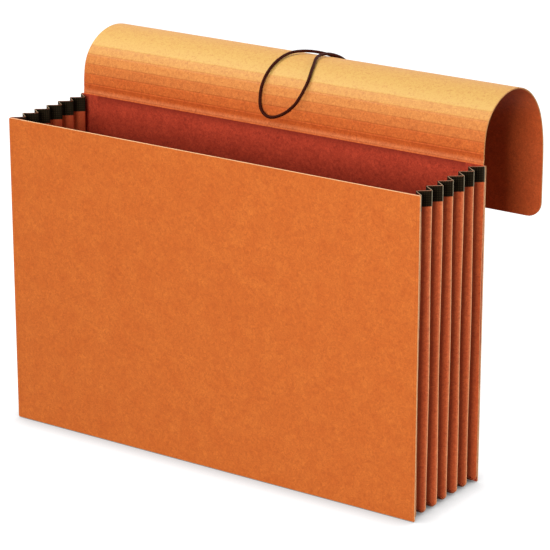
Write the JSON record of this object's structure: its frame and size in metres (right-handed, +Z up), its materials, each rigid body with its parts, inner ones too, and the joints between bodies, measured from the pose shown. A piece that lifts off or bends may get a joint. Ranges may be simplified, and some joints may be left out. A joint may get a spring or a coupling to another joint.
{
  "type": "expanding file wallet",
  "caption": "Expanding file wallet with stiff board covers, pleated side and bottom gussets, a scored flap curled back and an elastic cord loop.",
  "frame": {"origin": "middle of the back cover's bottom edge, on the surface that the wallet stands on", "axes": "+X across the wallet to the right seen from the front, +Y from the front cover to the back cover, +Z up"},
  "size_m": [0.381, 0.1929, 0.307],
  "materials": {
    "cover_board": "matte",
    "flap_board": "matte",
    "gusset_paper": "matte",
    "gusset_tape": "matte",
    "elastic_cord": "matte",
    "eyelet_metal": "satin"
  },
  "bodies": {
    "back_cover": {"back_cover": "cover_board", "back_left_flange": "gusset_paper", "back_right_flange": "gusset_paper", "back_bottom_flange": "gusset_paper", "left_tape": "gusset_tape", "right_tape": "gusset_tape"},
    "bottom_leaf_01": {"bottom_leaf_01": "gusset_paper"},
    "bottom_leaf_02": {"bottom_leaf_02": "gusset_paper"},
    "bottom_leaf_03": {"bottom_leaf_03": "gusset_paper"},
    "bottom_leaf_04": {"bottom_leaf_04": "gusset_paper"},
    "bottom_leaf_05": {"bottom_leaf_05": "gusset_paper"},
    "bottom_leaf_06": {"bottom_leaf_06": "gusset_paper"},
    "bottom_leaf_07": {"bottom_leaf_07": "gusset_paper"},
    "bottom_leaf_08": {"bottom_leaf_08": "gusset_paper"},
    "bottom_leaf_09": {"bottom_leaf_09": "gusset_paper"},
    "bottom_leaf_10": {"bottom_leaf_10": "gusset_paper"},
    "bottom_leaf_11": {"bottom_leaf_11": "gusset_paper"},
    "bottom_leaf_12": {"bottom_leaf_12": "gusset_paper"},
    "left_leaf_01": {"left_leaf_01": "gusset_paper"},
    "left_leaf_02": {"left_leaf_02": "gusset_paper"},
    "left_leaf_03": {"left_leaf_03": "gusset_paper"},
    "left_leaf_04": {"left_leaf_04": "gusset_paper"},
    "left_leaf_05": {"left_leaf_05": "gusset_paper"},
    "left_leaf_06": {"left_leaf_06": "gusset_paper"},
    "left_leaf_07": {"left_leaf_07": "gusset_paper"},
    "left_leaf_08": {"left_leaf_08": "gusset_paper"},
    "left_leaf_09": {"left_leaf_09": "gusset_paper"},
    "left_leaf_10": {"left_leaf_10": "gusset_paper"},
    "left_leaf_11": {"left_leaf_11": "gusset_paper"},
    "left_leaf_12": {"left_leaf_12": "gusset_paper"},
    "right_leaf_01": {"right_leaf_01": "gusset_paper"},
    "right_leaf_02": {"right_leaf_02": "gusset_paper"},
    "right_leaf_03": {"right_leaf_03": "gusset_paper"},
    "right_leaf_04": {"right_leaf_04": "gusset_paper"},
    "right_leaf_05": {"right_leaf_05": "gusset_paper"},
    "right_leaf_06": {"right_leaf_06": "gusset_paper"},
    "right_leaf_07": {"right_leaf_07": "gusset_paper"},
    "right_leaf_08": {"right_leaf_08": "gusset_paper"},
    "right_leaf_09": {"right_leaf_09": "gusset_paper"},
    "right_leaf_10": {"right_leaf_10": "gusset_paper"},
    "right_leaf_11": {"right_leaf_11": "gusset_paper"},
    "right_leaf_12": {"right_leaf_12": "gusset_paper"},
    "front_cover": {"front_cover": "cover_board", "front_left_flange": "gusset_paper", "front_right_flange": "gusset_paper", "front_bottom_flange": "gusset_paper"},
    "flap_strip_1": {"flap_strip_1": "flap_board"},
    "flap_strip_2": {"flap_strip_2": "flap_board"},
    "flap_strip_3": {"flap_strip_3": "flap_board"},
    "flap_strip_4": {"flap_strip_4": "flap_board"},
    "flap_strip_5": {"flap_strip_5": "flap_board"},
    "flap_strip_6": {"flap_strip_6": "flap_board"},
    "flap_strip_7": {"flap_strip_7": "flap_board"},
    "flap_strip_8": {"flap_strip_8": "flap_board"},
    "flap_strip_9": {"flap_strip_9": "flap_board"},
    "flap_strip_10": {"flap_strip_10": "flap_board"},
    "flap_end": {"flap_end": "flap_board", "cord_eyelet": "eyelet_metal", "cord_knot": "elastic_cord", "elastic_cord": "elastic_cord"}
  },
  "joints": [
    {"name": "gusset_expand", "type": "hinge", "parent": "back_cover", "child": "bottom_leaf_01", "pos_m": [0, -0.00145, 0.00125], "axis": [1, 0, 0], "range_deg": [-38, 41], "deforming": ["left_tape", "right_tape"]},
    {"name": "bottom_fold_02", "type": "hinge", "parent": "bottom_leaf_01", "child": "bottom_leaf_02", "pos_m": [0, -0.00896, 0.00894], "axis": [1, 0, 0], "range_deg": [-82, 76]},
    {"name": "bottom_fold_03", "type": "hinge", "parent": "bottom_leaf_02", "child": "bottom_leaf_03", "pos_m": [0, -0.01647, 0.00125], "axis": [1, 0, 0], "range_deg": [-76, 82]},
    {"name": "bottom_fold_04", "type": "hinge", "parent": "bottom_leaf_03", "child": "bottom_leaf_04", "pos_m": [0, -0.02398, 0.00894], "axis": [1, 0, 0], "range_deg": [-82, 76]},
    {"name": "bottom_fold_05", "type": "hinge", "parent": "bottom_leaf_04", "child": "bottom_leaf_05", "pos_m": [0, -0.03149, 0.00125], "axis": [1, 0, 0], "range_deg": [-76, 82]},
    {"name": "bottom_fold_06", "type": "hinge", "parent": "bottom_leaf_05", "child": "bottom_leaf_06", "pos_m": [0, -0.039, 0.00894], "axis": [1, 0, 0], "range_deg": [-82, 76]},
    {"name": "bottom_fold_07", "type": "hinge", "parent": "bottom_leaf_06", "child": "bottom_leaf_07", "pos_m": [0, -0.04652, 0.00125], "axis": [1, 0, 0], "range_deg": [-76, 82]},
    {"name": "bottom_fold_08", "type": "hinge", "parent": "bottom_leaf_07", "child": "bottom_leaf_08", "pos_m": [0, -0.05403, 0.00894], "axis": [1, 0, 0], "range_deg": [-82, 76]},
    {"name": "bottom_fold_09", "type": "hinge", "parent": "bottom_leaf_08", "child": "bottom_leaf_09", "pos_m": [0, -0.06154, 0.00125], "axis": [1, 0, 0], "range_deg": [-76, 82]},
    {"name": "bottom_fold_10", "type": "hinge", "parent": "bottom_leaf_09", "child": "bottom_leaf_10", "pos_m": [0, -0.06905, 0.00894], "axis": [1, 0, 0], "range_deg": [-82, 76]},
    {"name": "bottom_fold_11", "type": "hinge", "parent": "bottom_leaf_10", "child": "bottom_leaf_11", "pos_m": [0, -0.07656, 0.00125], "axis": [1, 0, 0], "range_deg": [-76, 82]},
    {"name": "bottom_fold_12", "type": "hinge", "parent": "bottom_leaf_11", "child": "bottom_leaf_12", "pos_m": [0, -0.08407, 0.00894], "axis": [1, 0, 0], "range_deg": [-82, 76]},
    {"name": "left_fold_01", "type": "hinge", "parent": "back_cover", "child": "left_leaf_01", "pos_m": [-0.18925, -0.00145, 0.127], "axis": [0, 0, -1], "range_deg": [-38, 41]},
    {"name": "left_fold_02", "type": "hinge", "parent": "left_leaf_01", "child": "left_leaf_02", "pos_m": [-0.18156, -0.00896, 0.127], "axis": [0, 0, -1], "range_deg": [-82, 76]},
    {"name": "left_fold_03", "type": "hinge", "parent": "left_leaf_02", "child": "left_leaf_03", "pos_m": [-0.18925, -0.01647, 0.127], "axis": [0, 0, -1], "range_deg": [-76, 82]},
    {"name": "left_fold_04", "type": "hinge", "parent": "left_leaf_03", "child": "left_leaf_04", "pos_m": [-0.18156, -0.02398, 0.127], "axis": [0, 0, -1], "range_deg": [-82, 76]},
    {"name": "left_fold_05", "type": "hinge", "parent": "left_leaf_04", "child": "left_leaf_05", "pos_m": [-0.18925, -0.03149, 0.127], "axis": [0, 0, -1], "range_deg": [-76, 82]},
    {"name": "left_fold_06", "type": "hinge", "parent": "left_leaf_05", "child": "left_leaf_06", "pos_m": [-0.18156, -0.039, 0.127], "axis": [0, 0, -1], "range_deg": [-82, 76]},
    {"name": "left_fold_07", "type": "hinge", "parent": "left_leaf_06", "child": "left_leaf_07", "pos_m": [-0.18925, -0.04652, 0.127], "axis": [0, 0, -1], "range_deg": [-76, 82]},
    {"name": "left_fold_08", "type": "hinge", "parent": "left_leaf_07", "child": "left_leaf_08", "pos_m": [-0.18156, -0.05403, 0.127], "axis": [0, 0, -1], "range_deg": [-82, 76]},
    {"name": "left_fold_09", "type": "hinge", "parent": "left_leaf_08", "child": "left_leaf_09", "pos_m": [-0.18925, -0.06154, 0.127], "axis": [0, 0, -1], "range_deg": [-76, 82]},
    {"name": "left_fold_10", "type": "hinge", "parent": "left_leaf_09", "child": "left_leaf_10", "pos_m": [-0.18156, -0.06905, 0.127], "axis": [0, 0, -1], "range_deg": [-82, 76]},
    {"name": "left_fold_11", "type": "hinge", "parent": "left_leaf_10", "child": "left_leaf_11", "pos_m": [-0.18925, -0.07656, 0.127], "axis": [0, 0, -1], "range_deg": [-76, 82]},
    {"name": "left_fold_12", "type": "hinge", "parent": "left_leaf_11", "child": "left_leaf_12", "pos_m": [-0.18156, -0.08407, 0.127], "axis": [0, 0, -1], "range_deg": [-82, 76]},
    {"name": "right_fold_01", "type": "hinge", "parent": "back_cover", "child": "right_leaf_01", "pos_m": [0.18925, -0.00145, 0.127], "axis": [0, 0, 1], "range_deg": [-38, 41]},
    {"name": "right_fold_02", "type": "hinge", "parent": "right_leaf_01", "child": "right_leaf_02", "pos_m": [0.18156, -0.00896, 0.127], "axis": [0, 0, 1], "range_deg": [-82, 76]},
    {"name": "right_fold_03", "type": "hinge", "parent": "right_leaf_02", "child": "right_leaf_03", "pos_m": [0.18925, -0.01647, 0.127], "axis": [0, 0, 1], "range_deg": [-76, 82]},
    {"name": "right_fold_04", "type": "hinge", "parent": "right_leaf_03", "child": "right_leaf_04", "pos_m": [0.18156, -0.02398, 0.127], "axis": [0, 0, 1], "range_deg": [-82, 76]},
    {"name": "right_fold_05", "type": "hinge", "parent": "right_leaf_04", "child": "right_leaf_05", "pos_m": [0.18925, -0.03149, 0.127], "axis": [0, 0, 1], "range_deg": [-76, 82]},
    {"name": "right_fold_06", "type": "hinge", "parent": "right_leaf_05", "child": "right_leaf_06", "pos_m": [0.18156, -0.039, 0.127], "axis": [0, 0, 1], "range_deg": [-82, 76]},
    {"name": "right_fold_07", "type": "hinge", "parent": "right_leaf_06", "child": "right_leaf_07", "pos_m": [0.18925, -0.04652, 0.127], "axis": [0, 0, 1], "range_deg": [-76, 82]},
    {"name": "right_fold_08", "type": "hinge", "parent": "right_leaf_07", "child": "right_leaf_08", "pos_m": [0.18156, -0.05403, 0.127], "axis": [0, 0, 1], "range_deg": [-82, 76]},
    {"name": "right_fold_09", "type": "hinge", "parent": "right_leaf_08", "child": "right_leaf_09", "pos_m": [0.18925, -0.06154, 0.127], "axis": [0, 0, 1], "range_deg": [-76, 82]},
    {"name": "right_fold_10", "type": "hinge", "parent": "right_leaf_09", "child": "right_leaf_10", "pos_m": [0.18156, -0.06905, 0.127], "axis": [0, 0, 1], "range_deg": [-82, 76]},
    {"name": "right_fold_11", "type": "hinge", "parent": "right_leaf_10", "child": "right_leaf_11", "pos_m": [0.18925, -0.07656, 0.127], "axis": [0, 0, 1], "range_deg": [-76, 82]},
    {"name": "right_fold_12", "type": "hinge", "parent": "right_leaf_11", "child": "right_leaf_12", "pos_m": [0.18156, -0.08407, 0.127], "axis": [0, 0, 1], "range_deg": [-82, 76]},
    {"name": "front_cover_fold", "type": "hinge", "parent": "bottom_leaf_12", "child": "front_cover", "pos_m": [0, -0.09158, 0.00125], "axis": [1, 0, 0], "range_deg": [-38, 41]},
    {"name": "flap_fold", "type": "hinge", "parent": "back_cover", "child": "flap_strip_1", "pos_m": [0, 0, 0.259], "axis": [1, 0, 0], "range_deg": [0, 95], "deforming": ["elastic_cord"]},
    {"name": "flap_crease_1", "type": "hinge", "parent": "flap_strip_1", "child": "flap_strip_2", "pos_m": [0, 0.00139, 0.27494], "axis": [1, 0, 0], "range_deg": [0, 19]},
    {"name": "flap_crease_2", "type": "hinge", "parent": "flap_strip_2", "child": "flap_strip_3", "pos_m": [0, 0.0077, 0.2891], "axis": [1, 0, 0], "range_deg": [0, 29]},
    {"name": "flap_crease_3", "type": "hinge", "parent": "flap_strip_3", "child": "flap_strip_4", "pos_m": [0, 0.02008, 0.29843], "axis": [1, 0, 0], "range_deg": [0, 20]},
    {"name": "flap_crease_4", "type": "hinge", "parent": "flap_strip_4", "child": "flap_strip_5", "pos_m": [0, 0.0349, 0.30296], "axis": [1, 0, 0], "range_deg": [0, 19]},
    {"name": "flap_crease_5", "type": "hinge", "parent": "flap_strip_5", "child": "flap_strip_6", "pos_m": [0, 0.05039, 0.30242], "axis": [1, 0, 0], "range_deg": [0, 17]},
    {"name": "flap_crease_6", "type": "hinge", "parent": "flap_strip_6", "child": "flap_strip_7", "pos_m": [0, 0.06505, 0.29737], "axis": [1, 0, 0], "range_deg": [0, 20]},
    {"name": "flap_crease_7", "type": "hinge", "parent": "flap_strip_7", "child": "flap_strip_8", "pos_m": [0, 0.07709, 0.28762], "axis": [1, 0, 0], "range_deg": [0, 17]},
    {"name": "flap_crease_8", "type": "hinge", "parent": "flap_strip_8", "child": "flap_strip_9", "pos_m": [0, 0.08576, 0.27477], "axis": [1, 0, 0], "range_deg": [0, 16]},
    {"name": "flap_crease_9", "type": "hinge", "parent": "flap_strip_9", "child": "flap_strip_10", "pos_m": [0, 0.09055, 0.26003], "axis": [1, 0, 0], "range_deg": [0, 105]},
    {"name": "flap_crease_10", "type": "hinge", "parent": "flap_strip_10", "child": "flap_end", "pos_m": [0, 0.09222, 0.22807], "axis": [1, 0, 0], "range_deg": [0, 3]}
  ],
  "couplings": [
    {"joint": "bottom_fold_02", "follows": "gusset_expand", "ratio": -2},
    {"joint": "bottom_fold_03", "follows": "gusset_expand", "ratio": 2},
    {"joint": "bottom_fold_04", "follows": "gusset_expand", "ratio": -2},
    {"joint": "bottom_fold_05", "follows": "gusset_expand", "ratio": 2},
    {"joint": "bottom_fold_06", "follows": "gusset_expand", "ratio": -2},
    {"joint": "bottom_fold_07", "follows": "gusset_expand", "ratio": 2},
    {"joint": "bottom_fold_08", "follows": "gusset_expand", "ratio": -2},
    {"joint": "bottom_fold_09", "follows": "gusset_expand", "ratio": 2},
    {"joint": "bottom_fold_10", "follows": "gusset_expand", "ratio": -2},
    {"joint": "bottom_fold_11", "follows": "gusset_expand", "ratio": 2},
    {"joint": "bottom_fold_12", "follows": "gusset_expand", "ratio": -2},
    {"joint": "left_fold_01", "follows": "gusset_expand", "ratio": 1},
    {"joint": "left_fold_02", "follows": "gusset_expand", "ratio": -2},
    {"joint": "left_fold_03", "follows": "gusset_expand", "ratio": 2},
    {"joint": "left_fold_04", "follows": "gusset_expand", "ratio": -2},
    {"joint": "left_fold_05", "follows": "gusset_expand", "ratio": 2},
    {"joint": "left_fold_06", "follows": "gusset_expand", "ratio": -2},
    {"joint": "left_fold_07", "follows": "gusset_expand", "ratio": 2},
    {"joint": "left_fold_08", "follows": "gusset_expand", "ratio": -2},
    {"joint": "left_fold_09", "follows": "gusset_expand", "ratio": 2},
    {"joint": "left_fold_10", "follows": "gusset_expand", "ratio": -2},
    {"joint": "left_fold_11", "follows": "gusset_expand", "ratio": 2},
    {"joint": "left_fold_12", "follows": "gusset_expand", "ratio": -2},
    {"joint": "right_fold_01", "follows": "gusset_expand", "ratio": 1},
    {"joint": "right_fold_02", "follows": "gusset_expand", "ratio": -2},
    {"joint": "right_fold_03", "follows": "gusset_expand", "ratio": 2},
    {"joint": "right_fold_04", "follows": "gusset_expand", "ratio": -2},
    {"joint": "right_fold_05", "follows": "gusset_expand", "ratio": 2},
    {"joint": "right_fold_06", "follows": "gusset_expand", "ratio": -2},
    {"joint": "right_fold_07", "follows": "gusset_expand", "ratio": 2},
    {"joint": "right_fold_08", "follows": "gusset_expand", "ratio": -2},
    {"joint": "right_fold_09", "follows": "gusset_expand", "ratio": 2},
    {"joint": "right_fold_10", "follows": "gusset_expand", "ratio": -2},
    {"joint": "right_fold_11", "follows": "gusset_expand", "ratio": 2},
    {"joint": "right_fold_12", "follows": "gusset_expand", "ratio": -2},
    {"joint": "front_cover_fold", "follows": "gusset_expand", "ratio": 1},
    {"joint": "flap_crease_1", "follows": "flap_fold", "ratio": 0.2},
    {"joint": "flap_crease_2", "follows": "flap_fold", "ratio": 0.30526},
    {"joint": "flap_crease_3", "follows": "flap_fold", "ratio": 0.21053},
    {"joint": "flap_crease_4", "follows": "flap_fold", "ratio": 0.2},
    {"joint": "flap_crease_5", "follows": "flap_fold", "ratio": 0.17895},
    {"joint": "flap_crease_6", "follows": "flap_fold", "ratio": 0.21053},
    {"joint": "flap_crease_7", "follows": "flap_fold", "ratio": 0.17895},
    {"joint": "flap_crease_8", "follows": "flap_fold", "ratio": 0.16842},
    {"joint": "flap_crease_9", "follows": "flap_fold", "ratio": 1.1053},
    {"joint": "flap_crease_10", "follows": "flap_fold", "ratio": 0.031579}
  ]
}
